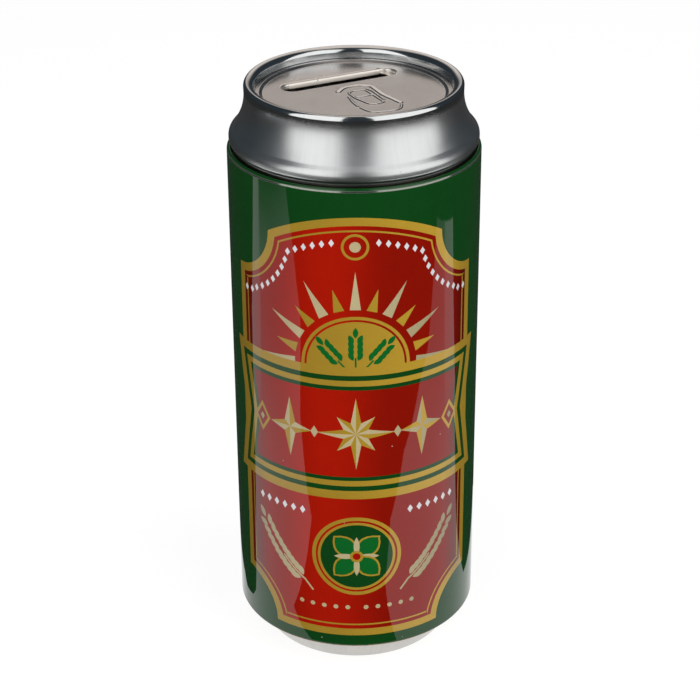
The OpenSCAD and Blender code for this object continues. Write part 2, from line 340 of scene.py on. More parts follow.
def tin(name, colour, lines_scale, stain, lines, specks, rough, rough_spread, bump,
        rough_above=None, rubbed=None, painted_shade_band=None):
    """Tinplate. Its lines' scale is round the can and up it, or along, across and down the sheet
    with the sheet's turn. Heights of other roughness and of a band of painted shade are in millimetres."""
    painted_shade_colour, painted_shade_depth, painted_shade_foot, painted_shade_fade = (0.07, 0.05, 0.03, 1), 0.85, 0.3, 0.4
    material = bpy.data.materials.new(name)
    material.use_nodes = True
    tree = material.node_tree
    place = place_in_mm(tree)
    height = add(tree, "SeparateXYZ", {0: place}).outputs["Z"]
    if len(lines_scale) == 2:
        around = add(tree, "VectorMath", {0: scaled(tree, place, (1, 1, 0))}, operation="NORMALIZE")
        up = add(tree, "CombineXYZ", {"Z": times(tree, height, lines_scale[1])})
        lines_place = add(tree, "VectorMath", {
            0: scaled(tree, around.outputs[0], (lines_scale[0],) * 3), 1: up.outputs[0]}).outputs[0]
    else:
        lines_place = add(tree, "Mapping", {"Vector": place, "Rotation": (0, 0, -lines_scale[3]),
                                            "Scale": lines_scale[:3]}, vector_type="TEXTURE").outputs[0]
    if rough_above:
        low, high, top_rough = rough_above
        rough = spread(tree, height, low, high, rough, top_rough)
    marks = add(tree, "Group", {
        "Place": place, "Lines place": lines_place, "Stain depth": stain, "Line depth": lines,
        "Speck size": specks, "Roughness": rough, "Roughness spread": rough_spread},
        node_tree=tin_marks).outputs
    tinted = scaled(tree, colour, marks["Shade"])
    if rubbed:
        layer, brightness = rubbed
        mark = add(tree, "Attribute", attribute_name=layer).outputs["Fac"]
        tinted = scaled(tree, tinted, spread(tree, mark, 0.5, 1, 1.0, brightness))
    # A band of painted shade: the tin is painted dark brown under the bead, where the gap over the sleeve
    # lies in shadow.
    if painted_shade_band:
        low, high = painted_shade_band
        painted_shade = times(tree, spread(tree, height, low - painted_shade_foot, low),
                     spread(tree, height, high, high + painted_shade_fade, painted_shade_depth, 0.0))
        tinted = blend(tree, painted_shade, tinted, painted_shade_colour)
    relief = add(tree, "Bump", {"Height": marks["Height"], "Distance": bump * MM})
    feed(tree, tree.nodes["Principled BSDF"], {
        "Base Color": tinted, "Metallic": 1, "Roughness": marks["Roughness"],
        "Normal": relief.outputs[0]})
    return material


cup_tin = tin("cup_tin", (0.53, 0.51, 0.475), (60, 0.05), stain=0.3, lines=0.3, specks=0.12,
              rough=0.38, rough_spread=0.12, bump=0.006)
finished("base_cup", pressed_metal(turned(sheet_section(cup_path), cup_tin)),
         "can", "base_cup")

# Printed sleeve
# A tube rolled from tinplate printed flat in red, green and gold under a clear lacquer, joined
# by a lock seam at the back, curled inwards at the top and turned in at the bottom.
sleeve_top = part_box("printed_sleeve")[1].z / MM
curl_out_r, curl_in_r = 1.2, 0.36
curl_change = 60
print_bottom = sleeve_bottom + turn_r
print_top = (sleeve_top - curl_in_r
             - (curl_out_r - curl_in_r) * math.sin(math.radians(curl_change)))
half_round = math.pi * can_r
column_step = 2 * half_round / steps_round
seam_side = 1.42
seam_place = half_round - seam_side
groove_depth, groove_w, groove_end, groove_margin = 0.12, 0.168, 1.2, 0.5
print_weld, point_weld, print_margin = 2e-7, 1e-5, 0.001
groove_columns = (-0.42, -0.264, -0.144, -0.06, 0.06, 0.144, 0.264, 0.42)
strip_bottom, strip_top = 15.78, 148.6
strip_section = [(-1.6, 34.3), (-1.58, 33.75), (-1.45, 33.42), (-1.2, 33.3), (1.2, 33.3), (1.45, 33.42),
                 (1.58, 33.75), (1.6, 34.3)]
label_w = 38
label_bottom, label_top = 13, 142.5
label_scoop = 13
label_arch = 7
border_depth, border_low, border_count, border_start = 6.8, 6, 16, 0.3
boss = (0, 134.2)
boss_gap = 5
ribbon_w = 41
ribbon_bottom, ribbon_top = 58.3, 99.2
ribbon_notch = 4
ribbon_middle = (ribbon_bottom + ribbon_top) / 2
sun = (0, ribbon_top)
sun_r = 15
ray_count, ray_foot, ray_half_w = 13, 17, 5
long_ray, short_ray = 28, 23.5
sun_ear_lean, sun_ear_shift, sun_ear_drop = 42, 0.06, 0.6
stalk_end, ear_start, ear_end = 3.4, 2.6, 9.2
roundel = (0, 39.6)
leaf_size, inner_leaf_size, leaf_shift = (9.2, 6.4), (8.0, 5.2), 0.6
side_ear = [(u, 28 + 0.032 * (u - 11) ** 2 + 0.42 * (u - 11)) for u in range(15, 30)]
side_stalk_foot = (12.6, 27.2)
side_star, side_lozenge, small_lozenge = 19, 29, 11.6


def disc(centre, radius, count=40):
    """Outline of a round field, counter-clockwise."""
    return [on_circle(centre, radius, 360 * i / count) for i in range(count)]


def bow(start, end, rise, count=24):
    """Points of a shallow arch from start to end, without its end."""
    (u0, v0), (u1, v1) = start, end
    return [(u0 + (u1 - u0) * t, v0 + (v1 - v0) * t + rise * 4 * t * (1 - t))
            for t in (i / count for i in range(count))]


def scoop(centre, start, end, count=12):
    """Points of a label's scooped corner, between two angles in degrees."""
    return [on_circle(centre, label_scoop, start + (end - start) * i / count)
            for i in range(count + 1)]


def inset(outline, distance):
    """A counter-clockwise outline drawn in by a distance, with mitred corners."""
    moved = []
    points = [Vector(p) for p in outline]
    for i, p in enumerate(points):
        before = (p - points[i - 1]).normalized()
        after = (points[(i + 1) % len(points)] - p).normalized()
        mitre = (before + after) / (1 + before.dot(after))
        moved.append((p.x - distance * mitre.y, p.y + distance * mitre.x))
    return moved


def bordered(outline, *lines):
    """Fields of ink in one another, each as far inside the outline as its line says."""
    return [(ink, inset(outline, depth)) for ink, depth in lines]


def target(centre, *fields):
    """Round fields of ink in one another, each with its radius and number of corners."""
    return [(ink, disc(centre, *size)) for ink, *size in fields]


def lozenge(centre, half_w, half_h):
    """Outline of an upright lozenge."""
    u, v = centre
    return [(u - half_w, v), (u, v - half_h), (u + half_w, v), (u, v + half_h)]


def grain(foot, angle, length, width, count=7):
    """Outline of a pointed oval that grows from its foot at an angle in degrees."""
    along = Vector(on_circle((0, 0), 1, angle))
    across = Vector((-along.y, along.x))
    middle = [(Vector(foot) + along * length * i / count,
               across * width / 2 * math.sin(math.pi * i / count) ** 0.8) for i in range(count + 1)]
    right = [tuple(place - half) for place, half in middle[:-1]]
    left = [tuple(place + half) for place, half in middle[:0:-1]]
    return right + left


def faceted_star(centre, radii, waist):
    """A star whose points are folded along their middle, cream on the left and gold on the right."""
    left, right = [], []
    half_step = 180 / len(radii)
    for i, radius in enumerate(radii):
        angle = 90 + 2 * half_step * i
        tip = on_circle(centre, radius, angle)
        before, after = (on_circle(centre, waist, angle + turn) for turn in (-half_step, half_step))
        right.append(("gold", [centre, before, tip]))
        left.append(("cream", [centre, tip, after]))
    return left + right


def barley(route, pairs, grain_l, grain_w, ink, lean=24, aside=0.42, tip_l=1.1):
    """An ear of barley along a route of points: pairs of leaning grains and one at the tip."""
    points = [Vector(p) for p in route]
    ear = []
    for i in range(pairs + 1):
        place = i / pairs * (len(points) - 1)
        k = min(int(place), len(points) - 2)
        here = points[k].lerp(points[k + 1], place - k)
        run = points[k + 1] - points[k]
        angle = math.degrees(math.atan2(run.y, run.x))
        across = Vector((-run.y, run.x)).normalized() * grain_w * aside
        if i == pairs:
            ear.append((ink, grain(here, angle, grain_l * tip_l, grain_w)))
            continue
        for side in (1, -1):
            ear.append((ink, grain(here + across * side, angle + lean * side, grain_l, grain_w)))
    return ear


def stem(route, width, ink):
    """A stalk of even width along a route."""
    points = [Vector(p) for p in route]
    return [(ink, [tuple(p) for p in beside(points, width / 2) + beside(points, -width / 2)[::-1]])]


def mirrored(shapes):
    """The same shapes on the other side of the print's middle, kept counter-clockwise."""
    return [(ink, [(-u, v) for u, v in outline][::-1]) for ink, outline in shapes]


label_side, arch_foot = label_w - label_scoop, label_top - label_arch
label = (scoop((label_w, label_bottom), 180, 90) + scoop((label_w, arch_foot), 270, 180)
         + bow((label_side, arch_foot), (-label_side, arch_foot), label_arch)[1:]
         + scoop((-label_w, arch_foot), 360, 270) + scoop((-label_w, label_bottom), 90, 0))
artwork = bordered(label, ("gold", 0), ("red", 2.3), ("gold", 3.5), ("red", 4))

for i in range(ray_count):
    ray = 180 * i / (ray_count - 1)
    ink, reach = ("gold", short_ray) if i % 2 else ("cream", long_ray)
    artwork.append((ink, [on_circle(sun, ray_foot, ray - ray_half_w), on_circle(sun, reach, ray),
                          on_circle(sun, ray_foot, ray + ray_half_w)]))
artwork += target(sun, ("gold", sun_r, 72), ("red", sun_r - 0.9, 72), ("gold", sun_r - 1.5, 72))
for lean in (-sun_ear_lean, 0, sun_ear_lean):
    foot = Vector((sun_ear_shift * lean, sun[1] - sun_ear_drop))
    way = Vector(on_circle((0, 0), 1, 90 - lean))
    artwork += stem([foot, foot + way * stalk_end], width=0.5, ink="leaf")
    artwork += barley([foot + way * ear_start, foot + way * ear_end], pairs=4, grain_l=2.9,
                      grain_w=1.5, ink="leaf")

border = [Vector(p) for p in inset(label, border_depth) if p[0] > 0 and p[1] > ribbon_top + border_low]
border = [p for p in border if min((p - Vector(q)).length for q in label) > border_depth - 0.1]
border.sort(key=lambda p: math.atan2(p.y - sun[1], p.x))
lengths = [0]
for before, after in zip(border, border[1:]):
    lengths.append(lengths[-1] + (after - before).length)
for i in range(border_count):
    way = lengths[-1] * (i + border_start) / border_count
    k = max(j for j, length in enumerate(lengths) if length <= way)
    bead = border[k].lerp(border[k + 1], (way - lengths[k]) / (lengths[k + 1] - lengths[k]))
    if bead.x > boss_gap:
        artwork += [("white", lozenge((side * bead.x, bead.y), 0.75, 1.1)) for side in (-1, 1)]
artwork += target(boss, ("gold", 3.7), ("red", 3.0), ("cream", 1.5, 20))

artwork += target(roundel, ("gold", 12.8, 72), ("red", 11.7, 72), ("gold", 11.1, 72),
                  ("ground", 10.3, 72))
for turn in (0, 90, 180, 270):
    artwork += [("gold", grain(roundel, turn + 45, *leaf_size)),
                ("leaf", grain(on_circle(roundel, leaf_shift, turn + 45), turn + 45, *inner_leaf_size)),
                ("cream", grain(roundel, turn, 6.4, 1.7))]
artwork += target(roundel, ("gold", 1.9, 24), ("red", 1.1, 20))

side_shapes = (stem([side_stalk_foot] + side_ear[:8], width=0.55, ink="cream")
               + barley(side_ear[1:], pairs=9, grain_l=3.5, grain_w=1.75, ink="cream"))
side_shapes += [("white", lozenge((15.5 + 2.9 * i, 53.2), 0.85, 1.25)) for i in range(6)]
side_shapes += [("cream", disc((2.6 + 3.4 * i, 22.6 + 0.02 * i * i), 0.7, 14)) for i in range(5)]
artwork += side_shapes + mirrored(side_shapes)

ribbon = [(-ribbon_w, ribbon_bottom), (ribbon_w, ribbon_bottom),
          (ribbon_w - ribbon_notch, ribbon_middle), (ribbon_w, ribbon_top),
          (-ribbon_w, ribbon_top), (ribbon_notch - ribbon_w, ribbon_middle)]
artwork += bordered(ribbon, ("gold", 0), ("ground", 2.6), ("gold", 4.1), ("ground", 5.8), ("red", 7))
artwork += faceted_star((0, ribbon_middle), (11, 7.4) * 4, waist=3.7)
for side in (-1, 1):
    artwork += faceted_star((side * side_star, ribbon_middle), (9.2, 6.6) * 2, waist=2.4)
    artwork.append(("cream", lozenge((side * small_lozenge, ribbon_middle), 1.1, 1.8)))
    artwork += [(ink, lozenge((side * side_lozenge, ribbon_middle), *size))
                for ink, *size in (("gold", 3.1, 4.7), ("red", 2.1, 3.2), ("cream", 0.8, 1.2))]


def print_marks_tree():
    """Marks of the lacquered print: a painted highlight across each field, painted shade towards the
    can's sides, grain, dust, and wear at its edges.
    """
    painted_side_shade_from, painted_side_shade_to, painted_light_from, broad_share = 26, 35, 0.05, 0.5
    dust_few, dust_full, ragged_depth, chip_few, chip_full = 0.8, 0.06, 0.5, 0.56, 0.62
    worn_from, worn_to = (print_top - 0.05, print_top + 0.15), (print_top + 0.4, print_top + 0.65)
    raw_to = (sleeve_bottom + 0.5, sleeve_bottom + 0.62)
    chipped_to = (sleeve_bottom + 0.7, sleeve_bottom + 0.9)
    worn_depth, chip_dark = 0.9, 0.9
    tree, given, out = group_tree(
        "Print marks", ("Place",), ("Middle", "Reach", "Painted light depth", "Painted side shade depth", "Grain depth"),
        ("Shade", "Dust", "Worn", "Raw", "Chips"))
    place = given["Place"]
    x, y, z = add(tree, "SeparateXYZ", {0: place}).outputs
    across = times(tree, maths(tree, "ARCTAN2", x, times(tree, y, -1.0)), can_r)
    # Painted light: each field is painted brighter round its middle and darker away from it, and painted
    # darker again towards the can's sides.
    away = maths(tree, "ABSOLUTE", maths(tree, "SUBTRACT", across, given["Middle"]))
    dark = spread(tree, maths(tree, "DIVIDE", away, given["Reach"]), painted_light_from, 1.0)
    painted_light = maths(tree, "SUBTRACT", 1.0, times(tree, dark, given["Painted light depth"]))
    side = spread(tree, maths(tree, "ABSOLUTE", across), painted_side_shade_from, painted_side_shade_to)
    painted_light = times(tree, painted_light, maths(tree, "SUBTRACT", 1.0, times(tree, given["Painted side shade depth"], side)))
    fine = clouds(tree, place, 2.4, roughness=0.7)
    broad = clouds(tree, place, 0.22)
    mottle = maths(tree, "ADD", maths(tree, "SUBTRACT", fine, 0.5),
                   times(tree, maths(tree, "SUBTRACT", broad, 0.5), broad_share))
    mottle = maths(tree, "MULTIPLY_ADD", mottle, given["Grain depth"], 1.0)
    cells = add(tree, "TexVoronoi", {"Vector": place, "Scale": 0.3})
    chosen = add(tree, "SeparateColor", {"Color": cells.outputs["Color"]})
    dust_size = spread(tree, chosen.outputs[0], dust_few, 1.0, 0.0, dust_full)
    roll = times(tree, spread(tree, z, *worn_from), spread(tree, z, *worn_to, worn_depth, 0.0))
    ragged = clouds(tree, place, 0.9, detail=3)
    near = maths(tree, "ADD", z, times(tree, maths(tree, "SUBTRACT", ragged, 0.5), ragged_depth))
    chips = times(tree, spread(tree, ragged, chip_few, chip_full),
                  spread(tree, near, *chipped_to, 1.0, 0.0))
    feed(tree, out, {
        "Shade": times(tree, painted_light, mottle),
        "Dust": maths(tree, "LESS_THAN", cells.outputs["Distance"], dust_size),
        "Worn": times(tree, roll, spread(tree, fine, 0.3, 0.5, 0.8, 1.0)),
        "Raw": spread(tree, near, *raw_to, 1.0, 0.0),
        "Chips": maths(tree, "MULTIPLY_ADD", chips, -chip_dark, 1.0)})
    return tree


print_marks = print_marks_tree()


def lacquer_relief(tree, place):
    """Normal of the lacquer: a faint orange peel, and shallow dents that are deepest at the foot."""
    relief_depth, peel_depth = 0.01, 0.25
    dent_foot, dent_top, foot_dents, top_dents = 12, 40, 14, 3
    height = add(tree, "SeparateXYZ", {0: place}).outputs["Z"]
    dents = times(tree, clouds(tree, scaled(tree, place, (0.05, 0.05, 0.015)), 1.0),
                  spread(tree, height, dent_foot, dent_top, foot_dents, top_dents))
    relief = maths(tree, "MULTIPLY_ADD", clouds(tree, place, 0.35, detail=1), peel_depth, dents)
    return add(tree, "Bump", {"Height": relief, "Distance": relief_depth * MM}).outputs[0]


def printed_inks():
    """A node material for each ink: its colour, the middle and reach of its painted highlight round the
    can, and how strong the painted highlight, the painted shade at the sides and the grain are."""
    dust_colour, worn_colour = (0.4, 0.38, 0.34, 1), (0.3, 0.32, 0.28, 1)
    raw_colour = (0.36, 0.2, 0.085, 1)
    inks = {}
    # Columns: ink, colour, middle and reach of its painted highlight, depth of the painted highlight,
    # depth of the painted shade at the sides, and grain.
    for name, colour, middle, reach, painted_light, sides, grit in (
            ("ground", (0.0042, 0.055, 0.0085), 10, 60, 0.15, 0, 0.35),
            ("red", (0.41, 0.0085, 0.0012), -8, 18, 0.38, 0.6, 0.22),
            ("gold", (0.5, 0.315, 0.033), 30, 45, 0.28, 0.3, 0.2),
            ("cream", (0.52, 0.44, 0.25), -3, 34, 0.35, 0.3, 0.2),
            ("leaf", (0.004, 0.13, 0.02), 0, 40, 0.4, 0, 0.3),
            ("white", (0.75, 0.75, 0.78), 0, 60, 0.2, 0, 0.1)):
        inks[name] = bpy.data.materials.new(name + "_print")
        inks[name].use_nodes = True
        tree = inks[name].node_tree
        place = place_in_mm(tree)
        marks = add(tree, "Group", {
            "Place": place, "Middle": middle, "Reach": reach, "Painted light depth": painted_light, "Painted side shade depth": sides,
            "Grain depth": grit}, node_tree=print_marks).outputs
        inked = blend(tree, marks["Dust"], scaled(tree, colour, marks["Shade"]), dust_colour)
        inked = blend(tree, marks["Worn"], inked, worn_colour)
        inked = blend(tree, marks["Raw"], inked, raw_colour)
        skin = lacquer_relief(tree, place)
        feed(tree, tree.nodes["Principled BSDF"], {
            "Base Color": scaled(tree, inked, marks["Chips"]), "Metallic": marks["Worn"],
            "Roughness": maths(tree, "MULTIPLY_ADD", marks["Worn"], -0.25, 0.35),
            "Specular IOR Level": 0, "Coat Weight": maths(tree, "SUBTRACT", 1.0, marks["Raw"]),
            "Coat Roughness": 0.03, "Normal": skin, "Coat Normal": skin})
    return inks


def unrolled_print():
    """Triangles of the flat print, cut along the columns of the tube, with the ink of each."""
    columns = [column_step * i - half_round for i in range(steps_round + 1)]
    points = [(u, print_bottom) for u in columns] + [(u, print_top) for u in columns[::-1]]
    faces = [list(range(len(points)))]
    edges = [(i, len(points) - 1 - i) for i in range(1, steps_round)]
    for column in groove_columns:
        edges.append((len(points), len(points) + 1))
        points += [(seam_place + column, z)
                   for z in (print_bottom + groove_margin, print_top - groove_margin)]
    for ink, outline in artwork:
        faces.append(list(range(len(points), len(points) + len(outline))))
        points += outline
    cut = geometry.delaunay_2d_cdt([Vector(p) for p in points], edges, faces, 1, point_weld)
    inks = ["ground"] + [ink for ink, outline in artwork]
    return cut[0], cut[2], [inks[max(owners)] if owners else "ground" for owners in cut[5]]


def on_tube(u, v):
    """Place in metres of a point of the flat print, with the seam's groove pressed in."""
    fade = min(1, max(0, (v - print_bottom) / groove_end), max(0, (print_top - v) / groove_end))
    dent = groove_depth * fade * math.exp(-((u - seam_place) / groove_w) ** 2)
    reach, turn = can_r - dent, u / can_r
    return reach * math.sin(turn) * MM, -reach * math.cos(turn) * MM, v * MM


def seam_strip(work):
    """Adds the folded strip of the lock seam, which lies along the tube's inside."""
    ends = [[work.verts.new((x * MM, y * MM, z * MM)) for x, y in strip_section]
            for z in (strip_bottom, strip_top)]
    for i in range(len(strip_section)):
        ahead = (i + 1) % len(strip_section)
        work.faces.new((ends[0][i], ends[0][ahead], ends[1][ahead], ends[1][i]))
    work.faces.new(ends[0][::-1])
    work.faces.new(ends[1])


def mesh_of(work, *materials):
    """The mesh of a shape that was built face by face, with its materials."""
    mesh = bpy.data.meshes.new("worked")
    work.to_mesh(mesh)
    work.free()
    for material in materials:
        mesh.materials.append(material)
    return mesh


def sleeve_mesh():
    """The tube: the print wrapped round it, its curl and turned-in edge, and its bare inside."""
    outer = (can_r - curl_out_r, print_top)
    inner = on_circle(outer, curl_out_r - curl_in_r, curl_change)
    curl = (arc(inner, curl_in_r, 270, curl_change, step=15)
            + arc(outer, curl_out_r, curl_change, 0, step=7.5)[1:])
    turn = arc((can_r - turn_r, print_bottom), turn_r, 0, -90, step=10) + [(mouth_r, sleeve_bottom, 0)]
    seen = bent(curl + turn)
    inside = [seen[-1]] + beside(seen, sheet)[::-1] + [seen[0]]
    inks = printed_inks()
    work = bmesh.new()
    for part, slot in ((bent(curl), 1), (bent(turn), 1), (inside, 0)):
        first = len(work.faces)
        work.from_mesh(turned(part, sleeve_tin, closed=False))
        work.faces.ensure_lookup_table()
        for face in work.faces[first:]:
            face.material_index = slot
    seam_strip(work)
    flat, triangles, owners = unrolled_print()
    wrapped = [work.verts.new(on_tube(u, v)) for u, v in flat]
    for triangle, ink in zip(triangles, owners):
        work.faces.new([wrapped[i] for i in triangle]).material_index = list(inks).index(ink) + 1
    bmesh.ops.remove_doubles(work, verts=work.verts, dist=print_weld)
    bmesh.ops.recalc_face_normals(work, faces=work.faces)
    return creased(mesh_of(work, sleeve_tin, *inks.values()))


def with_round_normals(mesh):
    """Shades the printed wall as the smooth tube that it is, with its seam's groove."""
    normals = []
    low, high = (print_bottom - print_margin) * MM, (print_top + print_margin) * MM
    for face in mesh.polygons:
        wall = all(low < mesh.vertices[i].co.z < high for i in face.vertices)
        outside = wall and face.normal.dot(Vector((face.center.x, face.center.y, 0))) > 0
        for i in face.vertices:
            at = mesh.vertices[i].co
            if not outside:
                normals.append((0, 0, 0))
                continue
            turn = math.atan2(at.x, -at.y)
            off = (turn % (2 * math.pi)) * can_r - seam_place
            slope = 2 * off / groove_w ** 2 * groove_depth * math.exp(-(off / groove_w) ** 2)
            radial = Vector((math.sin(turn), -math.cos(turn), 0))
            around = Vector((math.cos(turn), math.sin(turn), 0))
            normals.append((radial - around * slope).normalized())
    mesh.normals_split_custom_set(normals)
    return mesh


sleeve_tin = tin("sleeve_tin", (0.6, 0.595, 0.58), (30, 0.05), stain=0.3, lines=0.15, specks=0.1,
                 rough=0.34, rough_spread=0.1, bump=0.004)
finished("printed_sleeve", with_round_normals(sleeve_mesh()),
         "can", "printed_sleeve")

# Lid shoulder
# The lid's flared shoulder, drawn from plain tinplate. Its rim is folded in over the panel's
# wall, its lower bead stands just over the sleeve and its plug skirt slides inside it.
bead_inset, bead_rise, under_gap = 0.6, 2.8, 0.9
bead_max_r = can_r - bead_inset
bead_z = sleeve_top + bead_rise
bead_r, bead_under_r, bead_start = 2.5, 0.9, 45
bead_centre = (bead_max_r - bead_r, bead_z)
skirt_gap, skirt_depth, skirt_bend = 0.3, 8, 0.5
skirt_r = can_r - curl_out_r - skirt_gap
rim_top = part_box("lid_shoulder")[1].z / MM
rim_r = 29.5
fold_middle = 28.7
fold_top_r, fold_out_r, fold_in_r = 0.5, 1.5, 2.2
fold_change, fold_end = 50, 3
lip_start, lip_lean, lip_bend, lip_h = 155, 8, 0.8, 2.95
neck_depth, neck_end = 3, 29.5
neck_z = rim_top - neck_depth
crease_angle, crease_bend = 55, 2.3
crease = on_circle(bead_centre, bead_r, crease_angle)
neck_run, neck_drop = crease[0] - rim_r, neck_z - crease[1]
neck_r = (neck_run ** 2 + neck_drop ** 2) / (2 * neck_run)
neck_centre = (rim_r + neck_r, neck_z)
neck_foot = 180 + neck_end
crease_corner = geometry.intersect_line_line_2d(
    on_circle(neck_centre, neck_r, neck_foot), on_circle(neck_centre, neck_r, neck_foot, along=2),
    on_circle(bead_centre, bead_r, bead_start), on_circle(bead_centre, bead_r, bead_start, along=2))
fold_in = (fold_middle, rim_top - fold_in_r)
fold_top = (fold_middle, rim_top - fold_top_r)
fold_out = on_circle(fold_top, fold_top_r - fold_out_r, fold_change)
lip_top = on_circle(fold_in, fold_in_r, lip_start)
lip_foot_r = lip_top[0] - (lip_top[1] - rim_top + lip_h) * math.tan(math.radians(lip_lean))
shoulder_path = [
    (lip_foot_r, rim_top - lip_h, 0),
    (*lip_top, lip_bend),
    *arc(fold_in, fold_in_r, lip_start, 90)[1:],
    *arc(fold_top, fold_top_r, 90, fold_change)[1:],
    *arc(fold_out, fold_out_r, fold_change, fold_end, step=4)[1:],
    *arc(neck_centre, neck_r, 180, neck_foot, step=2),
    (*crease_corner, crease_bend),
    *arc(bead_centre, bead_r, bead_start, 0),
    (bead_max_r, sleeve_top + under_gap + bead_max_r - skirt_r, bead_under_r),
    (skirt_r, sleeve_top + under_gap, skirt_bend),
    (skirt_r, sleeve_top - skirt_depth, 0)]
# The shoulder's tin has a band of painted shade round its skirt, just under the bead.
shoulder_tin = tin("shoulder_tin", (0.655, 0.672, 0.682), (60, 0.04), stain=0.2, lines=0.14,
                   specks=0.06, rough=0.31, rough_spread=0.08, bump=0.002,
                   rough_above=(neck_z - 0.5, neck_z + 1.6, 0.11),
                   painted_shade_band=(sleeve_top - 0.2, bead_z - 2.4))
finished("lid_shoulder", pressed_metal(turned(sheet_section(shoulder_path), shoulder_tin)),
         "lid", "lid_shoulder")

# Lid panel
# The lid's stepped top, pressed from plain tinplate. The coin slot's edges are bent down and a
# ring pull is embossed in front of it. Its leaning wall is held inside the shoulder's rim.
ring_depth, ring_w = 3.1, 1.8
ring_z = rim_top - ring_depth
step_drop, step_run, step_bend = 0.6, 0.8, 0.35
panel_z = ring_z - step_drop
panel_wall_r, panel_wall_h, panel_wall_lean, panel_bend = 26.76, 2.3, 28, 0.15
panel_r = panel_wall_r - ring_w
flat_margin = 0.6
flat_r = panel_r - step_run / 2 - flat_margin
slot_half, slot_bend = 2.9, 0.8
slot_l, slot_shift, slot_margin = 35.2, 1.1, 2.6
slot_turn = math.radians(26)
cut_half = slot_half + slot_bend
end_reach = slot_l / 2 - cut_half
slot_offset = math.sqrt((panel_r - slot_margin - cut_half) ** 2 - (end_reach + slot_shift) ** 2)
lip_depth, lip_flare, lip_step = 1.6, 10, 0.25
ledge_depth, ledge_bend = 1.1, 0.2
ledge_left, ledge_right = 0.4, 2.2
nick_w, relief_w = 1, 0.06
hole_corner = 3
torn_depth, torn_scale, torn_h = 0.12, 2.3, 0.1
slot_guard = 0.12
ridge_h, ridge_foot, ridge_side = 0.26, 0.1, 0.32
broad_ridge, fine_ridge = 1.45, 0.65
pull_gap, pull_half = 1.8, 11.6
pull_place = np.array((2, slot_offset - cut_half - pull_gap - pull_half))
pull_broad = [(-5.7, 7.9, 0), (-3, 10.4, 4), (1.8, 10.2, 3), (4.3, 7.9, 1.8), (4, 0.6, 12),
              (5.3, -6.9, 0)]
pull_fine = [
    [(-5.1, 2.8, 0), (-6, -1.8, 6), (-6.1, -4.7, 0)],
    [(-6, -6, 0), (-5, -11, 3.6), (3, -11.8, 3), (4.9, -8.4, 0)],
    [(-3.9, 2.2, 0), (-3.8, 6.6, 1.8), (1.4, 6.2, 1.6), (1.6, -4.9, 0.9), (-2.4, -5.3, 2.2),
     (-3.9, 1.2, 2), (-3.9, 2.2, 0)],
    [(2.1, 6.3, 0), (2.7, 4.6, 1.5), (2.5, -3, 0)],
    [(-3.3, 1.9, 0), (-0.6, 1.5, 6), (1.6, 1.8, 0)]]
pull_u, pull_v, pull_grid = (-7.6, 7), (-12.9, 12), 0.13
panel_point_weld = 1e-6


def way_to_path(points, path):
    """Distance of each point from a path, in the panel's plane."""
    nearest = np.full(len(points), np.inf)
    for start, end in zip(path, path[1:]):
        start, run = np.array(start), np.array(end) - np.array(start)
        along = np.clip((points - start) @ run / (run @ run), 0, 1)
        nearest = np.minimum(nearest, np.hypot(*(points - start - along[:, None] * run).T))
    return nearest


def embossing(points):
    """Height of the embossed ring pull at points of the panel's plane."""
    height = np.zeros(len(points))
    for path, width in [(pull_broad, broad_ridge)] + [(line, fine_ridge) for line in pull_fine]:
        away = way_to_path(points - pull_place, bent(path))
        rise = np.clip((width / 2 + ridge_foot - away) / ridge_side, 0, 1)
        height = np.maximum(height, ridge_h * rise * rise * (3 - 2 * rise))
    return height


def slot_stations():
    """Stations round the cut in the panel: foot, direction inwards, kind and reach of the ledge."""
    left_u, right_u = slot_shift - end_reach, slot_shift + end_reach
    lips = np.append(np.arange(left_u + relief_w, right_u - nick_w, lip_step), right_u - nick_w)
    sides = [(u, "lip") for u in lips] + [(right_u - relief_w, "nick")]
    stations = [((u, slot_offset - cut_half), (0, 1), kind, 0) for u, kind in sides]
    for centre_u, turn, ledge in ((right_u, 0, ledge_right), (left_u, math.pi, ledge_left)):
        for a in np.radians(np.linspace(-90, 90, 37)):
            out = np.array((math.cos(a + turn), math.sin(a + turn)))
            shift = ledge * math.cos(a)
            reach = math.sqrt(shift ** 2 + slot_half ** 2 - ledge ** 2) - shift
            stations.append((tuple(np.array((centre_u, slot_offset)) + out * cut_half),
                             tuple(-out), "end", cut_half - reach))
        if turn == 0:
            stations += [((u, slot_offset + cut_half), (0, -1), kind, 0) for u, kind in sides[::-1]]
    return stations


def edge_profile(kind, reach):
    """Sheet section of the slot's bent edge: way inwards from the cut, and height."""
    if kind == "end":
        lean = 0
        bend = (slot_bend + ledge_bend, ledge_bend - ledge_depth)
        foot = (arc(bend, ledge_bend, 180, 270, step=22.5)
                + [(reach, -ledge_depth), (reach, -ledge_depth - sheet)]
                + arc(bend, ledge_bend + sheet, 270, 180, step=22.5))
    else:
        lean = lip_flare
        out, down = on_circle((0, 0), 1, lean)
        tip = sheet * down - lip_depth
        run = (down * slot_bend - slot_bend - tip) / out
        tip_place = (out * slot_bend + down * run, tip)
        foot = [tip_place, (tip_place[0] - sheet * out, -lip_depth)]
    seen = arc((0, -slot_bend), slot_bend, 90, lean, step=15)
    under = arc((0, -slot_bend), slot_bend - sheet, lean, 90, step=15)
    return [point[:2] for point in seen + foot + under]


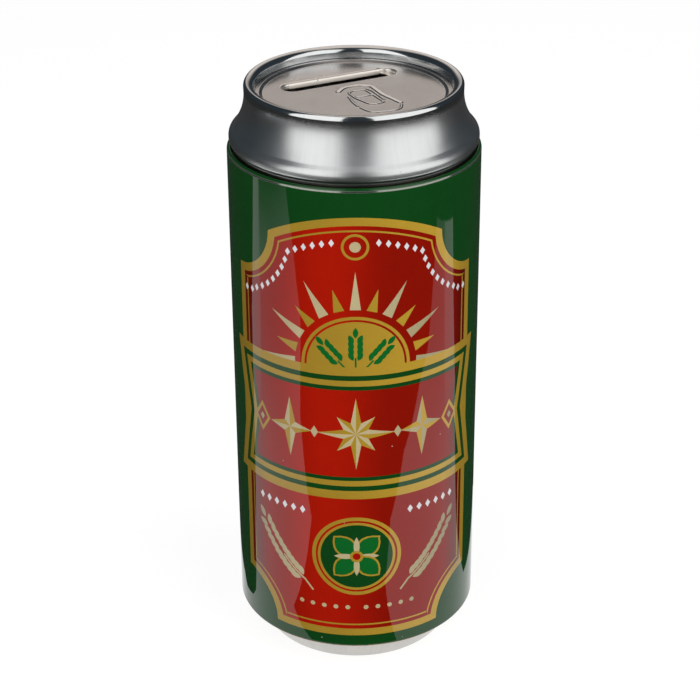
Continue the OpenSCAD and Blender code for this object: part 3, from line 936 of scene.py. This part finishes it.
def slot_edges(work, place):
    """Adds the slot's bent edges: long lips, with a torn hole at one end, and ledged round ends."""
    stations = slot_stations()
    rings = []
    for (u, v), (in_u, in_v), kind, reach in stations:
        profile = edge_profile(kind, reach)
        torn = torn_depth * abs(noise.noise((u * torn_scale, v, 5)))
        rings.append([place(u + in_u * x, v + in_v * x,
                            panel_z + z + (torn if z < torn_h - lip_depth else 0)) for x, z in profile])
    faces = []
    for i, ring in enumerate(rings):
        ahead = rings[(i + 1) % len(rings)]
        kinds = stations[i][2], stations[(i + 1) % len(rings)][2]
        last = len(ring) - 1
        hole_end = last - hole_corner
        if kinds[0] == kinds[1] != "nick":
            faces += [(ring[k], ring[k + 1], ahead[k + 1], ahead[k]) for k in range(last)]
            continue
        if (ring[0].co - ahead[0].co).length > weld:
            faces.append((ring[0], ring[-1], ahead[-1], ahead[0]))
        if "end" in kinds:
            for kind, loop in ((kinds[0], ring[::-1]), (kinds[1], ahead)):
                faces.append(loop[hole_corner:len(loop) - hole_corner] if kind == "nick" else loop)
            continue
        faces += [(ring[k], ring[k + 1], ahead[k + 1], ahead[k]) for k in range(hole_corner, hole_end)]
        faces.append((ring[hole_end], ring[hole_corner], ahead[hole_corner], ahead[hole_end]))
        if "lip" in kinds:
            loop = ring if kinds[0] == "lip" else ahead
            faces.append(loop[:hole_corner + 1] + loop[hole_end:])
    for corners in faces:
        work.faces.new(corners).material_index = 1


def panel_mesh():
    """The pressed panel: flat middle with slot and embossing, turned step, ring and wall."""
    turns = [2 * math.pi * i / steps_round - slot_turn for i in range(steps_round)]
    outer = [(flat_r * math.cos(a), flat_r * math.sin(a)) for a in turns]
    outline, guard = [], []
    for foot, inwards, *kind in slot_stations():
        if not outline or math.dist(foot, outline[-1]) > weld / MM:
            outline.append(foot)
            guard.append([c - slot_guard * d for c, d in zip(foot, inwards)])
    if math.dist(outline[0], outline[-1]) < weld / MM:
        outline.pop()
    grid = np.array([(u, v) for u in np.arange(*pull_u, pull_grid) + pull_place[0]
                     for v in np.arange(*pull_v, pull_grid) + pull_place[1]])
    steps = (-1, -0.5, 0, 0.5, 1)
    around = [embossing(grid + 2 * pull_grid * np.array((u, v))) for u in steps for v in steps]
    grid = grid[np.maximum.reduce(around) > 0]
    points = [Vector(p) for p in outer + outline + guard + grid.tolist()]
    faces = [list(range(len(outer))), list(range(len(outer), len(outer) + len(outline)))]
    cut = geometry.delaunay_2d_cdt(points, [], faces, 1, panel_point_weld)
    heights = embossing(np.array([tuple(p) for p in cut[0]]))
    turn_cos, turn_sin = math.cos(slot_turn), math.sin(slot_turn)
    work = bmesh.new()
    ridge = work.verts.layers.float.new("ridge")

    def place(u, v, z, rise=0.0):
        made = work.verts.new(((u * turn_cos - v * turn_sin) * MM,
                               (u * turn_sin + v * turn_cos) * MM, z * MM))
        made[ridge] = rise
        return made

    for depth in (0, sheet):
        verts = [place(*p, panel_z - depth + h, h / ridge_h) for p, h in zip(cut[0], heights)]
        for triangle, owners in zip(cut[2], cut[5]):
            if 1 not in owners:
                corners = [verts[i] for i in triangle]
                work.faces.new(corners if depth == 0 else corners[::-1])
    slot_edges(work, place)
    wall_run = panel_wall_h * math.tan(math.radians(panel_wall_lean))
    seen = bent([(flat_r, panel_z, 0),
                 (panel_r - step_run / 2, panel_z, step_bend),
                 (panel_r + step_run / 2, ring_z, step_bend),
                 (panel_wall_r, ring_z, panel_bend),
                 (panel_wall_r + wall_run, ring_z + panel_wall_h, 0)])
    work.from_mesh(turned(seen + beside(seen, sheet)[::-1], panel_tin, closed=False))
    return mesh_of(work, panel_tin, slot_edge_tin)


panel_tin = tin("panel_tin", (0.59, 0.585, 0.58), (0.6, 6, 1, 0.2), stain=0.25, lines=0.1, specks=0.1,
                rough=0.25, rough_spread=0.1, bump=0.006, rough_above=(ring_z + 0.2, ring_z + 0.7, 0.1),
                rubbed=("ridge", 1.65))
slot_edge_tin = tin("slot_edge_tin", (0.84, 0.8, 0.75), (4, 0.1, 0.1, slot_turn), stain=0.2, lines=0.5,
                    specks=0.1, rough=0.35, rough_spread=0.2, bump=0.02)
finished("lid_panel", pressed_metal(panel_mesh(), sharp_angle=60),
         "lid", "lid_panel")

# Camera
# It stands half a metre in front of the can and about a can's height above it, and looks down
# at its middle.
camera_data = bpy.data.cameras.new("camera")
camera_data.lens = 103.23
camera_data.sensor_width = 36
camera = in_scene("camera", camera_data)
bpy.context.scene.camera = camera
camera_place = Vector((-1.4845, -510.296, 344.691)) * MM
camera_aim = Vector((-1.4845, 0, 87.034)) * MM
camera_roll = math.radians(-0.38)
camera.matrix_world = (Matrix.Translation(camera_place)
                       @ (camera_aim - camera_place).to_track_quat("-Z", "Y").to_matrix().to_4x4()
                       @ Matrix.Rotation(camera_roll, 4, "Z"))

# Lamps
# Two tall softboxes in front light the can and stand in its metal as broad streaks, with a dark
# gap between them.
softbox_distance, softbox_h, softbox_middle = 0.5, 1.55, 0.825
for name, azimuth, width, radiance in (("left_softbox", -39, 0.51, 1.25),
                                       ("right_softbox", 54, 0.70, 1.2)):
    light = bpy.data.lights.new(name, "AREA")
    light.shape = "RECTANGLE"
    light.size, light.size_y = width, softbox_h
    light.color = (1.0, 0.985, 0.96)
    light.energy = radiance * math.pi * light.size * light.size_y
    softbox = in_scene(name, light)
    from_can = Vector((*on_circle((0, 0), softbox_distance, azimuth - 90), 0))
    softbox.matrix_world = (Matrix.Translation(from_can + Vector((0, 0, softbox_middle)))
                            @ (-from_can).to_track_quat("-Z", "Y").to_matrix().to_4x4())
    softbox.visible_camera = False

# Floor
# A plain pale floor, white to the camera round the can's soft shadow. In reflections it glows with
# painted light:
# the lacquer shows two bright sheets at the can's sides that fade with distance, and painted dark between
# and behind them.
bright_edge = [(-0.42, 0.066), (-0.42, -0.19), (-0.28, -0.19), (-0.2, -0.178), (-0.138, -0.121),
               (-0.07, -0.092), (-0.045, -0.042), (0.02, -0.042), (0.03, -0.075), (0.055, -0.103),
               (0.105, -0.119), (0.175, -0.111), (0.213, -0.094), (0.345, -0.085), (0.345, 0.035),
               (0.19, 0.032), (0.09, 0.01), (0.055, 0.008), (0.05, 0.07), (-0.04, 0.07),
               (-0.046, 0.03), (-0.0485, 0.015), (-0.047, 0.006), (-0.049, -0.003), (-0.053, -0.0045),
               (-0.063, -0.0005), (-0.074, 0.0045), (-0.087, 0.0095), (-0.24, 0.063)]
floor_half = 2
painted_dim_reflection = 0.03


def floor_material(name, painted_light):
    """Pale floor, which glows with painted light in shiny things, with a strength that is a function of
    its place.
    """
    material = bpy.data.materials.new(name)
    material.use_nodes = True
    tree = material.node_tree
    shader = tree.nodes["Principled BSDF"]
    feed(tree, shader, {"Base Color": (0.8, 0.8, 0.8, 1), "Roughness": 1, "Specular IOR Level": 0})
    spot = add(tree, "SeparateXYZ", {0: add(tree, "NewGeometry").outputs["Position"]}).outputs
    # Painted reflection: what shiny things show of the floor is this emission, not the floor's lit
    # colour.
    reflected = add(tree, "Emission", {"Strength": painted_light(tree, spot["X"], spot["Y"])})
    shadowed = add(tree, "BsdfDiffuse", {"Color": (0.35, 0.35, 0.35, 1)})
    bright = add(tree, "Emission", {"Strength": 0.8})
    paper = add(tree, "AddShader", {0: shadowed.outputs[0], 1: bright.outputs[0]})
    rays = add(tree, "LightPath").outputs
    shiny = add(tree, "MixShader", {0: rays["Is Glossy Ray"], 1: shader.outputs[0],
                                    2: reflected.outputs[0]})
    seen = add(tree, "MixShader", {0: rays["Is Camera Ray"], 1: shiny.outputs[0], 2: paper.outputs[0]})
    feed(tree, tree.nodes["Material Output"], {"Surface": seen.outputs[0]})
    return material


def painted_light_sheets(tree, x, y):
    """Painted light of the two sheets: fades away from the can in two steps, and stays bright along the
    sheets' back edge.
    """
    near, near_left, far, far_left = (0.12, 0.26), 0.62, (0.3, 0.4), 0.25
    back_slope, back_w = 0.06, 0.02
    away = maths(tree, "ABSOLUTE", x)
    fade = times(tree, spread(tree, away, *near, 1.0, near_left), spread(tree, away, *far, 1.0, far_left))
    back = maths(tree, "MULTIPLY_ADD", x, back_slope, y)
    return maths(tree, "MAXIMUM", fade, spread(tree, back, -back_w, 0.0))


floor_corners = [(-floor_half, -floor_half), (floor_half, -floor_half), (floor_half, floor_half),
                 (-floor_half, floor_half)]
floor_points = [Vector(p) for p in floor_corners + bright_edge]
floor_cut = geometry.delaunay_2d_cdt(
    floor_points, [], [list(range(4)), list(range(4, len(floor_points)))], 1, weld)
floor_mesh = bpy.data.meshes.new("floor")
floor_mesh.from_pydata([(p.x, p.y, 0) for p in floor_cut[0]], [], floor_cut[2])
floor_mesh.materials.append(floor_material("pale_floor", lambda tree, x, y: painted_dim_reflection))
floor_mesh.materials.append(floor_material("pale_floor_with_painted_light_sheets", painted_light_sheets))
for face, owners in zip(floor_mesh.polygons, floor_cut[5]):
    face.material_index = int(1 in owners)
floor = in_scene("floor", floor_mesh)

# World
# White behind the can. The room's soft light comes from all round, and what the metal shows of
# the room is dim in front and beside, and warm grey above and behind.
white, soft_light = (1, 1, 1, 1), (0.4, 0.4, 0.4, 1)
dim_room, warm_wall = (0.028, 0.038, 0.046, 1), (0.86, 0.76, 0.695, 1)
up_and_back = (0, 0.9, 0.44)
warm_back, warm_up, warm_side = (0.35, 0.65), (0.2, 0.42), (0.12, 0.42)
world = bpy.data.worlds.new("studio")
bpy.context.scene.world = world
world.use_nodes = True
tree = world.node_tree
direction = add(tree, "TexCoord").outputs["Generated"]
axes = add(tree, "SeparateXYZ", {0: direction}).outputs
behind = add(tree, "VectorMath", {0: direction, 1: up_and_back}, operation="DOT_PRODUCT")
warm = times(tree, spread(tree, behind.outputs["Value"], *warm_back),
             spread(tree, axes["Z"], *warm_up))
warm = times(tree, warm, spread(tree, maths(tree, "ABSOLUTE", axes["X"]), *warm_side, 1.0, 0.0))
rays = add(tree, "LightPath").outputs
lit = blend(tree, rays["Is Glossy Ray"], soft_light, blend(tree, warm, dim_room, warm_wall))
feed(tree, tree.nodes["Background"], {"Color": blend(tree, rays["Is Camera Ray"], lit, white)})

bpy.context.scene.view_settings.view_transform = "Standard"
